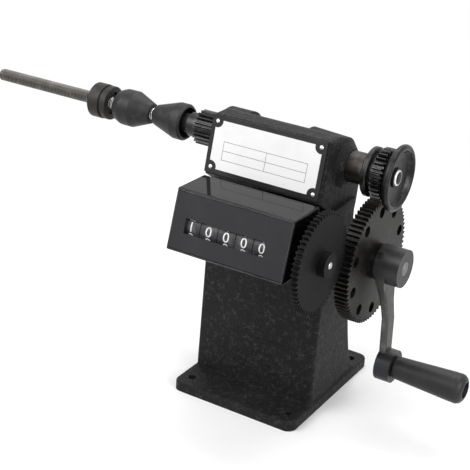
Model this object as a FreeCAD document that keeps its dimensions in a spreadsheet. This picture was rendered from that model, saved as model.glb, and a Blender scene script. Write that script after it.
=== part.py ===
import FreeCAD, Part
import math
import os
import Sketcher

# Hand-cranked coil winder: a cast frame carries a threaded winding spindle above a geared crank
# and a turns counter. X runs along the spindle to the crank side, Y to the back and
# Z up. The origin is the centre of the four bolt holes on the underside of the base.

SIZES = [
    # Frame casting
    ("base_half_length", 54.5), ("base_half_depth", 66.0), ("base_thickness", 8.0),
    ("base_corner", 7.5), ("bolt_half_x", 44.5), ("bolt_half_y", 53.0), ("bolt_hole_radius", 3.25),
    ("column_half_width", 51.5), ("foot_half_width", 53.0), ("head_half_width", 49.5),
    ("foot_front", -34.0), ("foot_back", 44.0), ("flare_back", 29.0), ("flare_height", 32.0),
    ("column_front", -31.0), ("column_back", 14.0), ("column_top", 168.0),
    ("head_front_foot", -43.0), ("head_bottom", 180.0), ("head_front_top", -33.0),
    ("head_top", 224.5), ("head_flat_back", -19.0), ("head_back", 20.0),
    ("head_back_height", 188.0), ("head_back_bottom", 148.0), ("head_rounding", 2.5),
    ("column_rounding", 2.5), ("base_rounding", 1.5), ("casting_wall", 7.0), ("cavity_top", 158.0),
    ("boss_radius", 21.5), ("left_boss_outer", -53.0), ("left_boss_inner", -33.5),
    ("right_boss_inner", 18.0), ("right_boss_outer", 47.5), ("nose_end", 54.0), ("nose_radius", 14.0),
    # Spindle line
    ("spindle_y", -6.0), ("spindle_height", 200.0), ("spindle_radius", 6.0), ("rod_radius", 5.0),
    ("rod_end", -280.0), ("rod_shoulder", -89.5), ("spindle_end", 92.0), ("running_gap", 0.05),
    ("bush_radius", 11.9), ("left_bush_inner", -29.0), ("right_bush_inner", 20.0),
    ("right_bush_outer", 68.5),
    # Gear train
    ("gear_module", 1.25), ("crank_teeth", 75), ("pinion_teeth", 30), ("counter_teeth", 57),
    ("motor_teeth", 20), ("gear_backlash", 0.25), ("crank_offset_y", -6.0),
    ("counter_offset_y", -78.5),
    ("crank_gear_back", 74.0), ("crank_gear_front", 85.0), ("lightening_radius", 38.6),
    ("lightening_hole", 4.3), ("lightening_count", 10),
    ("counter_gear_back", 73.5), ("counter_gear_front", 78.5), ("counter_hub_end", 84.6),
    ("pinion_back", 77.5), ("pinion_front", 85.3), ("motor_back", -77.0), ("motor_front", -57.0),
    # Cones and nut
    ("left_cone_back", -156.0), ("left_cone_tip", -123.0), ("right_cone_tip", -119.0),
    ("cone_radius", 14.6), ("cone_tip_radius", 8.3),
    ("nut_back", -179.0), ("nut_front", -162.0), ("nut_radius", 14.1),
    # Handwheel
    ("wheel_back", 85.7), ("wheel_front", 94.4), ("wheel_radius", 25.0),
    # Crank
    ("crank_shaft_radius", 6.0), ("crank_shaft_inner", 3.0), ("crank_end", 108.0),
    ("crank_hub_radius", 14.5), ("crank_hub_back", 89.0), ("crank_throw", 81.5),
    ("crank_bush_radius", 9.0), ("crank_boss_radius", 14.5),
    ("crank_boss_inner", 14.0), ("crank_boss_outer", 62.0),
    ("grip_boss_radius", 12.8), ("grip_boss_back", 97.5), ("grip_boss_front", 109.5),
    ("grip_start", 110.2), ("grip_end", 166.5), ("grip_small", 8.7), ("grip_large", 11.4),
    ("grip_axle_radius", 3.5),
    # Counter
    ("counter_left", -36.0), ("counter_right", 60.0), ("counter_front_bottom", -111.6),
    ("counter_front_top", -98.8), ("counter_bottom", 145.0), ("counter_top", 189.0),
    ("counter_back", -64.5), ("case_wall", 1.5), ("case_rounding", 1.2), ("bezel_thickness", 1.6),
    ("window_left", -24.5), ("window_right", 41.0), ("window_height", 11.0),
    ("wheel_count", 5), ("digit_wheel_radius", 13.1), ("digit_wheel_width", 14.2),
    ("first_digit", -20.5), ("digit_wheel_pitch", 14.5), ("counter_shaft_radius", 2.5),
    ("bracket_left", -18.0), ("bracket_right", 42.0), ("bracket_screw_left", -6.0),
    ("bracket_screw_right", 30.0), ("bracket_screw_height", 165.0), ("case_screw_height", 172.0),
    ("bracket_screw_radius", 2.0),
    ("carry_shaft_radius", 1.5), ("carry_pinion_radius", 4.0), ("carry_pinion_width", 6.0),
    ("carry_teeth", 8), ("carry_gap", 0.4),
    # Nameplate
    ("plate_left", -49.2), ("plate_right", 47.2), ("plate_foot", 1.2), ("plate_height", 43.9),
    ("plate_thickness", 1.0), ("rivet_inset", 4.6), ("rivet_radius", 0.9), ("rivet_head", 1.5),
    ("rivet_depth", 4.0),
    # Set screws
    ("grub_radius", 1.5), ("arm_screw_radius", 1.5), ("arm_rounding", 1.6),
]

doc = FreeCAD.newDocument("CoilWinder")
sheet = doc.addObject("Spreadsheet::Sheet", "Sizes")
SIZE = {}
for row, (alias, number) in enumerate(SIZES, start=1):
    sheet.set("A%d" % row, alias)
    sheet.set("B%d" % row, str(number))
    sheet.setAlias("B%d" % row, alias)
    SIZE[alias] = float(number)
doc.recompute()

NODES = []


def amount(text):
    """Value of a length written as sizes and numbers joined by + and -."""
    total = 0.0
    sign = 1.0
    for word in text.split():
        if word in "+-":
            sign = -1.0 if word == "-" else 1.0
            continue
        if word.startswith("-") and word[1:] in SIZE:
            total -= sign * SIZE[word[1:]]
        elif word in SIZE:
            total += sign * SIZE[word]
        else:
            total += sign * float(word)
        sign = 1.0
    return total


def formula(text):
    """The same length as a formula on the sheet of sizes."""
    words = []
    for word in text.split():
        if word.startswith("-") and word[1:] in SIZE:
            words.append("-Sizes." + word[1:])
        elif word in SIZE:
            words.append("Sizes." + word)
        else:
            words.append(word)
    return " ".join(words)


def bind(target, prop, text):
    """Set a property of an object from the sheet of sizes."""
    target.setExpression(prop, formula(text))


def new_body(label, at=None):
    """A body whose placement is bound to the sheet, listed as a node."""
    body = doc.addObject("PartDesign::Body", label)
    body.Label = label
    if at:
        for axis, text in zip("xyz", at):
            body.setExpression("Placement.Base." + axis, text)
    NODES.append(body)
    return body


def plane(body, role):
    """One of the body's own origin planes or axes."""
    for feature in body.Origin.OriginFeatures:
        if feature.Role == role:
            return feature
    raise ValueError(role)


def new_sketch(body, name, role, shift="0"):
    """A sketch on an origin plane, moved along the plane's normal."""
    sketch = body.newObject("Sketcher::SketchObject", name)
    sketch.AttachmentSupport = [(plane(body, role), "")]
    sketch.MapMode = "FlatFace"
    if shift != "0":
        bind(sketch, "AttachmentOffset.Base.z", shift)
    return sketch


def bowed_edge(sketch, here, there, bow):
    """An arc of a given rise over its chord; returns which of its ends lie here and there."""
    chord = there - here
    left = FreeCAD.Vector(-chord.y, chord.x, 0).normalize()
    radius = (chord.Length ** 2 / 4 + bow ** 2) / (2 * abs(bow))
    centre = (here + there) * 0.5 + left * (bow - math.copysign(radius, bow))
    begin, finish = (there, here) if bow > 0 else (here, there)
    first = math.atan2(begin.y - centre.y, begin.x - centre.x)
    last = math.atan2(finish.y - centre.y, finish.x - centre.x)
    if last < first:
        last += 2 * math.pi
    arc = Part.ArcOfCircle(Part.Circle(centre, FreeCAD.Vector(0, 0, 1), radius), first, last)
    number = sketch.addGeometry(arc, False)
    sketch.addConstraint(Sketcher.Constraint("Radius", number, radius))
    return (2, 1) if bow > 0 else (1, 2)


def outline(sketch, points):
    """A closed run of edges whose corners are bound to the sheet.

    A third value of a point is the rise of an arc to the next one, to the left of the way there.
    """
    corners = [FreeCAD.Vector(amount(point[0]), amount(point[1]), 0) for point in points]
    first = sketch.GeometryCount
    ends = []
    for point, here, there in zip(points, corners, corners[1:] + corners[:1]):
        if len(point) == 3:
            ends.append(bowed_edge(sketch, here, there, point[2]))
        else:
            sketch.addGeometry(Part.LineSegment(here, there), False)
            ends.append((1, 2))
    for index, point in enumerate(points):
        edge = first + index
        before = (index - 1) % len(points)
        start = ends[index][0]
        sketch.addConstraint(
            Sketcher.Constraint("Coincident", first + before, ends[before][1], edge, start))
        for kind, text in (("DistanceX", point[0]), ("DistanceY", point[1])):
            number = sketch.addConstraint(
                Sketcher.Constraint(kind, -1, 1, edge, start, amount(text)))
            if any(word.lstrip("-") in SIZE for word in text.split()):
                sketch.setExpression("Constraints[%d]" % number, formula(text))


def circle(sketch, across, upward, radius):
    """A circle whose centre and radius are bound to the sheet."""
    centre = FreeCAD.Vector(amount(across), amount(upward), 0)
    item = sketch.addGeometry(
        Part.Circle(centre, FreeCAD.Vector(0, 0, 1), amount(radius)), False)
    for kind, text in (("DistanceX", across), ("DistanceY", upward)):
        number = sketch.addConstraint(Sketcher.Constraint(kind, -1, 1, item, 3, amount(text)))
        if any(word.lstrip("-") in SIZE for word in text.split()):
            sketch.setExpression("Constraints[%d]" % number, formula(text))
    number = sketch.addConstraint(Sketcher.Constraint("Radius", item, amount(radius)))
    if any(word in SIZE for word in radius.split()):
        sketch.setExpression("Constraints[%d]" % number, formula(radius))


def pad(body, sketch, length, middle=False, back=False):
    """Material added along the sketch's normal."""
    feature = body.newObject("PartDesign::Pad", sketch.Name + "_pad")
    feature.Profile = sketch
    bind(feature, "Length", length)
    if middle:
        feature.SideType = "Symmetric"
    feature.Reversed = back
    sketch.Visibility = False
    return feature


def pocket(body, sketch, length, middle=False, forward=False):
    """Material removed against the sketch's normal, or along it when forward."""
    feature = body.newObject("PartDesign::Pocket", sketch.Name + "_pocket")
    feature.Profile = sketch
    bind(feature, "Length", length)
    if middle:
        feature.SideType = "Symmetric"
    feature.Reversed = forward
    sketch.Visibility = False
    return feature


def turn(body, name, points, cut=False):
    """A full turn about the body's X axis of a profile given as (x, radius)."""
    sketch = new_sketch(body, name, "XZ_Plane")
    outline(sketch, points)
    kind = "PartDesign::Groove" if cut else "PartDesign::Revolution"
    feature = body.newObject(kind, name + "_turned")
    feature.Profile = sketch
    feature.ReferenceAxis = (sketch, ["H_Axis"])
    feature.Angle = 360.0
    return feature


SPINDLE = ("0 mm", "Sizes.spindle_y * 1 mm", "Sizes.spindle_height * 1 mm")


def centre_distance(first, second):
    """Distance between the axes of two meshing gears."""
    return SIZE["gear_module"] * (SIZE[first] + SIZE[second]) / 2


crank_y = SIZE["spindle_y"] + SIZE["crank_offset_y"]
crank_z = SIZE["spindle_height"] - math.sqrt(
    centre_distance("crank_teeth", "pinion_teeth") ** 2 - SIZE["crank_offset_y"] ** 2)
counter_y = crank_y + SIZE["counter_offset_y"]
counter_z = crank_z + math.sqrt(
    centre_distance("crank_teeth", "counter_teeth") ** 2 - SIZE["counter_offset_y"] ** 2)
carry_y = (counter_y + SIZE["digit_wheel_radius"] + SIZE["carry_gap"]
           + SIZE["carry_pinion_radius"])
PLACES = [("crank_y", crank_y), ("crank_z", crank_z), ("counter_y", counter_y),
          ("counter_z", counter_z), ("carry_y", carry_y)]
for row, (alias, number) in enumerate(PLACES, start=len(SIZES) + 1):
    sheet.set("A%d" % row, alias)
    sheet.set("B%d" % row, repr(number))
    sheet.setAlias("B%d" % row, alias)
    SIZE[alias] = number
doc.recompute()
CRANK = ("0 mm", "Sizes.crank_y * 1 mm", "Sizes.crank_z * 1 mm")
COUNTER = ("0 mm", "Sizes.counter_y * 1 mm", "Sizes.counter_z * 1 mm")
CARRY = ("0 mm", "Sizes.carry_y * 1 mm", "Sizes.counter_z * 1 mm")


def mesh_phase(teeth_a, phase_a, teeth_b, direction):
    """Angle of a tooth of gear b that meshes with gear a, seen along the line of centres."""
    share = teeth_a * (direction - phase_a) / 360.0
    return direction + 180.0 - (0.5 - share) * 360.0 / teeth_b


CRANK_PHASE = 90.0
to_spindle = math.degrees(math.atan2(SIZE["spindle_height"] - crank_z, SIZE["spindle_y"] - crank_y))
to_counter = math.degrees(math.atan2(counter_z - crank_z, counter_y - crank_y))
PINION_PHASE = mesh_phase(SIZE["crank_teeth"], CRANK_PHASE, SIZE["pinion_teeth"], to_spindle)
COUNTER_PHASE = mesh_phase(SIZE["crank_teeth"], CRANK_PHASE, SIZE["counter_teeth"], to_counter)


def repeat_round(body, cut, count):
    """Repeat a cut evenly round the body's X axis."""
    doc.recompute()
    pattern = body.newObject("PartDesign::PolarPattern", cut.Name + "_round")
    pattern.Originals = [cut]
    pattern.Axis = (plane(body, "X_Axis"), [""])
    pattern.Angle = 360.0
    bind(pattern, "Occurrences", count)
    body.Tip = pattern
    doc.recompute()


def radial_hole(body, name, place, angle, radius, reach):
    """A hole from the body's X axis outward, at an angle counted from +Y towards +Z."""
    sketch = new_sketch(body, name, "XY_Plane")
    sketch.AttachmentOffset = FreeCAD.Placement(
        FreeCAD.Vector(0, 0, 0), FreeCAD.Rotation(FreeCAD.Vector(1, 0, 0), angle - 90.0))
    circle(sketch, place, "0", radius)
    pocket(body, sketch, reach, forward=True)


def cut_teeth(body, teeth, phase, back, front):
    """Cut involute tooth spaces round a blank of the tip radius."""
    count = int(SIZE[teeth])
    module = SIZE["gear_module"]
    pitch_radius = module * count / 2
    base_radius = pitch_radius * math.cos(math.radians(20.0))
    tip_radius = pitch_radius + module
    root_radius = pitch_radius - 1.25 * module
    tooth_half = (math.pi * module / 2 - SIZE["gear_backlash"]) / 2 / pitch_radius
    rolled = math.tan(math.radians(20.0)) - math.radians(20.0)

    def space_half_angle(radius):
        """Half of the gap's angle at a radius, from the involute flank."""
        if radius <= base_radius:
            return math.pi / count - tooth_half - rolled
        lean = math.acos(base_radius / radius)
        return math.pi / count - (tooth_half + rolled - (math.tan(lean) - lean))

    stations = [root_radius, max(base_radius, root_radius + 0.4), pitch_radius, tip_radius]
    middle = math.radians(phase) + math.pi / count
    right_flank = [(r, middle - space_half_angle(r)) for r in stations]
    left_flank = [(r, middle + space_half_angle(r)) for r in reversed(stations)]
    outside = tip_radius + module
    gap = right_flank + [(outside, right_flank[-1][1]), (outside, left_flank[0][1])] + left_flank
    sketch = new_sketch(body, body.Name + "_gap", "YZ_Plane", back)
    corners = [FreeCAD.Vector(r * math.cos(a), r * math.sin(a), 0) for r, a in gap]
    for here, there in zip(corners, corners[1:] + corners[:1]):
        sketch.addGeometry(Part.LineSegment(here, there), False)
    for line in range(len(corners)):
        follower = (line + 1) % len(corners)
        sketch.addConstraint(Sketcher.Constraint("Coincident", line, 2, follower, 1))
    sketch.addConstraint([Sketcher.Constraint("Block", line) for line in range(len(corners))])
    repeat_round(body, pocket(body, sketch, front + " - " + back, forward=True), teeth)


def tip(teeth):
    """Outside radius of a gear as text."""
    return repr(SIZE["gear_module"] * (SIZE[teeth] / 2 + 1))


RIVETS = [(across, upward)
          for across in ("plate_left + rivet_inset", "plate_right - rivet_inset")
          for upward in ("rivet_inset", "plate_height - rivet_inset")]


def plate_place():
    """Foot of the nameplate on the head's leaning face, and the angle of the lean."""
    rise = SIZE["head_top"] - SIZE["head_bottom"]
    run = SIZE["head_front_top"] - SIZE["head_front_foot"]
    foot_y = SIZE["head_front_foot"] + SIZE["plate_foot"] * run / rise
    return foot_y, SIZE["head_bottom"] + SIZE["plate_foot"], math.degrees(math.atan2(run, rise))


def machine_casting():
    """Hollow cast pedestal with its flange, head and bearing bosses."""
    body = new_body("machine_casting")
    column = new_sketch(body, "column_side", "YZ_Plane")
    outline(column, [
        ("foot_front", "0"), ("foot_back", "0"), ("foot_back", "base_thickness", 2.2),
        ("flare_back", "flare_height", 3.75), ("column_back", "150"), ("column_back", "column_top"),
        ("column_front", "column_top"), ("column_front", "120"), ("foot_front", "base_thickness")])
    block = pad(body, column, "foot_half_width + foot_half_width", middle=True)
    for name, sign in (("draft_right", ""), ("draft_left", "-")):
        draft = new_sketch(body, name, "XZ_Plane")
        outline(draft, [
            (sign + "foot_half_width", "0"), (sign + "base_half_length", "0"),
            (sign + "base_half_length", "column_top + 1"), (sign + "column_half_width", "column_top + 1")])
        block = pocket(body, draft, "base_half_depth + base_half_depth", middle=True)
    round_edges(body, block, "column_edges", "column_rounding", on_column_corners)
    base = new_sketch(body, "base_outline", "XY_Plane")
    outline(base, [
        ("-base_half_length", "-base_half_depth"), ("base_half_length", "-base_half_depth"),
        ("base_half_length", "base_half_depth"), ("-base_half_length", "base_half_depth")])
    flange = pad(body, base, "base_thickness")
    flange = round_edges(body, flange, "base_corners", "base_corner", on_base_corners)
    round_edges(body, flange, "base_rim", "base_rounding", on_base_rim)
    head = new_sketch(body, "head_side", "YZ_Plane")
    outline(head, [
        ("column_front", "head_bottom - 8"), ("head_front_foot", "head_bottom"),
        ("head_front_top", "head_top"), ("head_flat_back", "head_top", 8.0),
        ("head_back", "head_back_height", 2.0), ("column_back", "head_back_bottom")])
    head_block = pad(body, head, "head_half_width + head_half_width", middle=True)
    round_edges(body, head_block, "head_edges", "head_rounding", on_head_sides)
    for name, points in (
            ("left_boss", [("left_boss_outer", "0"), ("left_boss_outer", "boss_radius"),
                           ("left_boss_inner", "boss_radius"), ("left_boss_inner", "0")]),
            ("right_boss", [("right_boss_inner", "0"), ("right_boss_inner", "boss_radius"),
                            ("right_boss_outer", "boss_radius - 1.5"),
                            ("nose_end - 1", "nose_radius"), ("nose_end", "nose_radius - 1"),
                            ("nose_end", "0")])):
        sketch = new_sketch(body, name, "XZ_Plane", "-spindle_y")
        axis = sketch.addGeometry(Part.LineSegment(
            FreeCAD.Vector(SIZE["left_boss_outer"], SIZE["spindle_height"], 0),
            FreeCAD.Vector(SIZE["nose_end"], SIZE["spindle_height"], 0)), True)
        sketch.addConstraint(Sketcher.Constraint("Block", axis))
        outline(sketch, [(x, "spindle_height + " + r) for x, r in points])
        feature = body.newObject("PartDesign::Revolution", name + "_turned")
        feature.Profile = sketch
        feature.ReferenceAxis = (sketch, ["Axis0"])
        feature.Angle = 360.0
    cavity = new_sketch(body, "cavity_side", "YZ_Plane")
    outline(cavity, [
        ("foot_front + casting_wall", "-1"), ("foot_back - casting_wall", "-1"),
        ("foot_back - casting_wall", "base_thickness", 1.5),
        ("flare_back - casting_wall", "flare_height", 3.2),
        ("column_back - casting_wall", "150"), ("column_back - casting_wall", "cavity_top"),
        ("column_front + casting_wall", "cavity_top"), ("column_front + casting_wall", "120"),
        ("foot_front + casting_wall", "base_thickness")])
    pocket(body, cavity, "column_half_width + column_half_width - casting_wall - casting_wall",
           middle=True)
    bearing = new_sketch(body, "crank_boss", "YZ_Plane", "crank_boss_inner")
    circle(bearing, "crank_y", "crank_z", "crank_boss_radius")
    pad(body, bearing, "crank_boss_outer - crank_boss_inner")
    bore = new_sketch(body, "crank_bore", "YZ_Plane", "crank_boss_inner - 1")
    circle(bore, "crank_y", "crank_z", "crank_bush_radius")
    pocket(body, bore, "crank_boss_outer - crank_boss_inner + 2", forward=True)
    spindle_bore = new_sketch(body, "spindle_bore", "YZ_Plane", "left_boss_outer - 1")
    circle(spindle_bore, "spindle_y", "spindle_height", "bush_radius")
    pocket(body, spindle_bore, "nose_end - left_boss_outer + 2", forward=True)
    holes = new_sketch(body, "bolt_holes", "XY_Plane")
    for along in ("-bolt_half_x", "bolt_half_x"):
        for across in ("-bolt_half_y", "bolt_half_y"):
            circle(holes, along, across, "bolt_hole_radius")
    pocket(body, holes, "base_thickness + 1", forward=True)
    taps = new_sketch(body, "bracket_taps", "XZ_Plane", "-column_front")
    for along in ("bracket_screw_left", "bracket_screw_right"):
        circle(taps, along, "bracket_screw_height", "bracket_screw_radius")
    pocket(body, taps, "6.5")
    foot_y, foot_z, lean = plate_place()
    rivet_holes = new_sketch(body, "rivet_holes", "XZ_Plane")
    rivet_holes.AttachmentOffset = FreeCAD.Placement(
        FreeCAD.Vector(0, foot_z, -foot_y), FreeCAD.Rotation(FreeCAD.Vector(1, 0, 0), -lean))
    for across, upward in RIVETS:
        circle(rivet_holes, across, upward, "rivet_radius")
    pocket(body, rivet_holes, "rivet_depth")


def round_edges(body, base, name, radius, wanted):
    """A fillet on those edges of a feature whose end points pass a test."""
    doc.recompute()
    names = []
    for index, edge in enumerate(base.Shape.Edges, start=1):
        ends = [vertex.Point for vertex in edge.Vertexes]
        if len(ends) == 2 and wanted(*ends):
            names.append("Edge%d" % index)
    fillet = body.newObject("PartDesign::Fillet", name)
    fillet.Base = (base, names)
    bind(fillet, "Radius", radius)
    doc.recompute()
    return fillet


def on_any_edge(start, end):
    """All edges."""
    return True


def on_arm_edges(start, end):
    """Long edges of the crank arm."""
    return abs(start.z - end.z) > 12


def near(first, second):
    """Whether two lengths are the same."""
    return abs(first - second) < 1e-3


def on_head_sides(start, end):
    """Front edges of the head's two side faces, and the edge along its top."""
    if near(start.x, end.x):
        ahead = max(start.y, end.y) < SIZE["head_flat_back"] + 1
        high = min(start.z, end.z) > SIZE["head_bottom"] - 1
        return high and ahead and near(abs(start.x), SIZE["head_half_width"])
    return near(start.z, SIZE["head_top"]) and near(start.y, SIZE["head_front_top"])


def on_column_corners(start, end):
    """Long upright edges of the column."""
    tall = abs(start.z - end.z) > 20 and abs(start.x) > SIZE["head_half_width"] + 0.5
    return tall and min(start.z, end.z) > -1 and near(start.x * end.x, abs(start.x * end.x))


def on_base_corners(start, end):
    """Upright corners of the flange."""
    return near(start.x, end.x) and near(start.y, end.y) and near(abs(start.x), SIZE["base_half_length"])


def on_base_rim(start, end):
    """Upper rim of the flange."""
    outside = min(abs(start.y), abs(end.y)) > SIZE["foot_back"] + 1 or (
        near(abs(start.x), SIZE["base_half_length"]) and near(abs(end.x), SIZE["base_half_length"]))
    return outside and near(start.z, SIZE["base_thickness"]) and near(end.z, SIZE["base_thickness"])


def bush(label, back, front, radius, bore, at, flange=None):
    """A plain bearing bush, or one with a flange at its outer end."""
    body = new_body(label, at)
    points = [(back, bore), (back, radius)]
    if flange:
        start, rim = flange
        points += [(start, radius), (start, rim)]
        points += [(front, rim), (front, bore)]
    else:
        points += [(front, radius), (front, bore)]
    turn(body, label + "_side", points)
    return body


def bearings():
    """Bronze bushes for the spindle and the crank shaft."""
    bore = "spindle_radius + running_gap"
    bush("left_spindle_bush", "left_boss_outer", "left_bush_inner", "bush_radius", bore, SPINDLE)
    bush("right_spindle_bush", "right_bush_inner", "right_bush_outer", "bush_radius", bore, SPINDLE)
    bore = "crank_shaft_radius + running_gap"
    bush("crank_bush_inner", "crank_boss_inner", "28", "crank_bush_radius", bore, CRANK)
    bush("crank_bush_outer", "38", "64", "crank_bush_radius", bore, CRANK, ("crank_boss_outer", "13"))


PINION_SCREW_ANGLE = 150.0


def spindle_line():
    """Spindle shaft, its two pinions, the fixed cone and the handwheel."""
    shaft = new_body("spindle_shaft", SPINDLE)
    turn(shaft, "spindle_side", [
        ("rod_end", "0"), ("rod_end", "rod_radius - 1"), ("rod_end + 1", "rod_radius"),
        ("rod_shoulder", "rod_radius"), ("rod_shoulder", "spindle_radius"),
        ("spindle_end - 0.6", "spindle_radius"), ("spindle_end", "spindle_radius - 0.6"),
        ("spindle_end", "0")])

    motor = new_body("motor_pinion", SPINDLE)
    turn(motor, "motor_blank", [
        ("-86", "spindle_radius"), ("-86", "9"), ("-85.5", "9.5"), ("motor_back", "9.5"),
        ("motor_back", tip("motor_teeth")), ("motor_front", tip("motor_teeth")),
        ("motor_front", "9"), ("-53.8", "9"), ("-53.8", "spindle_radius")])
    doc.recompute()
    cut_teeth(motor, "motor_teeth", 4.0, "motor_back", "motor_front")
    radial_hole(motor, "motor_screw_hole", "-81.5", 90.0, "grub_radius", "12")

    cone = new_body("right_cone", SPINDLE)
    turn(cone, "right_cone_side", [
        ("right_cone_tip", "rod_radius"), ("right_cone_tip", "cone_tip_radius - 0.6"),
        ("right_cone_tip + 0.6", "cone_tip_radius"), ("-98.5", "cone_radius"),
        ("-91.5", "cone_radius"), ("-89.8", "cone_radius - 1.2"), ("-89.8", "cone_radius - 2.4"),
        ("-99", "cone_radius - 3.4"), ("-99", "7.6"), ("rod_shoulder", "7.6"),
        ("rod_shoulder", "rod_radius")])

    pinion = new_body("drive_pinion", SPINDLE)
    turn(pinion, "drive_blank", [
        ("69.3", "spindle_radius"), ("69.3", "17.9"), ("70.1", "18.7"), ("72.8", "18.7"),
        ("73.6", "17.9"), ("73.6", "15"), ("pinion_back", "15"),
        ("pinion_back", tip("pinion_teeth") + " - 0.8"), ("pinion_back + 0.6", tip("pinion_teeth")),
        ("pinion_front - 0.6", tip("pinion_teeth")), ("pinion_front", tip("pinion_teeth") + " - 0.8"),
        ("pinion_front", "spindle_radius")])
    doc.recompute()
    cut_teeth(pinion, "pinion_teeth", PINION_PHASE, "pinion_back", "pinion_front")
    radial_hole(pinion, "drive_screw_hole", "75.5", PINION_SCREW_ANGLE, "grub_radius", "20")

    wheel = new_body("handwheel", SPINDLE)
    turn(wheel, "handwheel_side", [
        ("wheel_back", "spindle_radius"), ("wheel_back", "16.6"), ("86.6", "17.6"),
        ("89.4", "23.6", 0.5), ("wheel_front - 2.2", "wheel_radius"),
        ("wheel_front - 1.8", "wheel_radius", 1.8), ("wheel_front - 1.8", "wheel_radius - 4.8"),
        ("90.6", "18.5"), ("89.9", "14"), ("89.6", "7.8"), ("89.6", "spindle_radius")])

    ring = new_body("spindle_lock_ring", SPINDLE)
    turn(ring, "lock_ring_side", [
        ("89.6", "spindle_radius"), ("89.6", "7.4"), ("90.8", "7.4"), ("91.1", "7"),
        ("91.1", "spindle_radius")])


def sliding_line():
    """Loose cone and the round nut that presses it."""
    cone = new_body("left_cone", SPINDLE)
    bore = "rod_radius + running_gap"
    turn(cone, "left_cone_side", [
        ("left_cone_back", bore), ("left_cone_back", "11"), ("-154.5", "12.4"),
        ("-149.5", "cone_radius - 0.2"), ("-148", "cone_radius"), ("-139.5", "cone_radius"),
        ("left_cone_tip - 0.6", "cone_tip_radius"), ("left_cone_tip", "cone_tip_radius - 0.6"),
        ("left_cone_tip", bore)])
    nut = new_body("lock_nut", SPINDLE)
    turn(nut, "lock_nut_side", [
        ("nut_back", bore), ("nut_back", "nut_radius - 0.7"), ("nut_back + 0.7", "nut_radius"),
        ("-169.2", "nut_radius"), ("-168.6", "nut_radius - 0.5"), ("-168.6", "12.6"),
        ("-167", "12.6"), ("-167", "13.2"), ("-166.5", "13.7"), ("nut_front - 0.6", "13.7"),
        ("nut_front", "13.1"), ("nut_front", "9.2"), ("-165", "8.6"), ("-165", bore)])


ARM_SCREW_ANGLE = 134.5


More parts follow.
